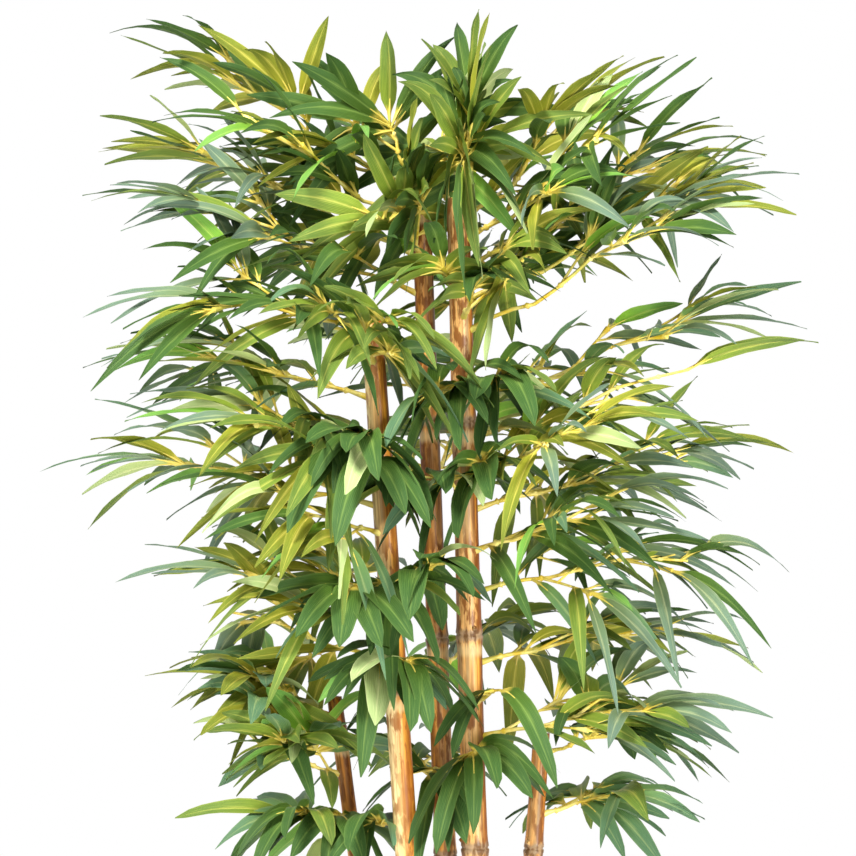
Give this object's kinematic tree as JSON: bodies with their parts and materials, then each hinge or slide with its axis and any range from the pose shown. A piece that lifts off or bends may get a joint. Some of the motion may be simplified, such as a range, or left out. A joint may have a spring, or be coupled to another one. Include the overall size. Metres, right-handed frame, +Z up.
{
  "type": "potted artificial bamboo",
  "caption": "Artificial bamboo plant: natural canes fan out of a plain round pot and carry arching sprays of long fabric leaves; stands on the pot's flat base.",
  "frame": {"origin": "middle of the pot's flat underside", "axes": "+Z up along the canes, front of the plant towards -Y, +X to the right"},
  "size_m": [0.8561, 0.5857, 1.7815],
  "materials": {
    "leaf_fabric": "printed polyester leaves with a faint sheen on yellow moulded twigs",
    "bamboo": "lacquered natural bamboo cane, smooth between rough rings",
    "pot_plastic": "matte moulded plastic",
    "fill": "rough set potting fill"
  },
  "bodies": {
    "root": {"cane_left": "bamboo", "cane_left_short": "bamboo", "cane_middle": "bamboo", "cane_right": "bamboo", "cane_right_short": "bamboo", "foliage_back_01": "leaf_fabric", "foliage_back_02": "leaf_fabric", "foliage_back_03": "leaf_fabric", "foliage_back_04": "leaf_fabric", "foliage_back_05": "leaf_fabric", "foliage_back_06": "leaf_fabric", "foliage_back_07": "leaf_fabric", "foliage_front_01": "leaf_fabric", "foliage_front_02": "leaf_fabric", "foliage_front_03": "leaf_fabric", "foliage_front_04": "leaf_fabric", "foliage_front_05": "leaf_fabric", "foliage_front_06": "leaf_fabric", "foliage_front_07": "leaf_fabric", "foliage_front_08": "leaf_fabric", "foliage_front_09": "leaf_fabric", "foliage_front_10": "leaf_fabric", "foliage_front_11": "leaf_fabric", "foliage_left_01": "leaf_fabric", "foliage_left_02": "leaf_fabric", "foliage_left_03": "leaf_fabric", "foliage_left_04": "leaf_fabric", "foliage_left_05": "leaf_fabric", "foliage_left_06": "leaf_fabric", "foliage_left_07": "leaf_fabric", "foliage_left_08": "leaf_fabric", "foliage_left_09": "leaf_fabric", "foliage_left_10": "leaf_fabric", "foliage_left_11": "leaf_fabric", "foliage_left_12": "leaf_fabric", "foliage_left_13": "leaf_fabric", "foliage_left_14": "leaf_fabric", "foliage_low_01": "leaf_fabric", "foliage_low_02": "leaf_fabric", "foliage_low_03": "leaf_fabric", "foliage_right_01": "leaf_fabric", "foliage_right_02": "leaf_fabric", "foliage_right_03": "leaf_fabric", "foliage_right_04": "leaf_fabric", "foliage_right_05": "leaf_fabric", "foliage_right_06": "leaf_fabric", "foliage_right_07": "leaf_fabric", "foliage_right_08": "leaf_fabric", "foliage_right_09": "leaf_fabric", "foliage_right_10": "leaf_fabric", "foliage_right_11": "leaf_fabric", "foliage_right_12": "leaf_fabric", "foliage_right_13": "leaf_fabric", "foliage_right_14": "leaf_fabric", "foliage_right_15": "leaf_fabric", "foliage_top_01": "leaf_fabric", "foliage_top_02": "leaf_fabric", "foliage_top_03": "leaf_fabric", "pot": "pot_plastic", "pot_fill": "fill"}
  },
  "joints": []
}
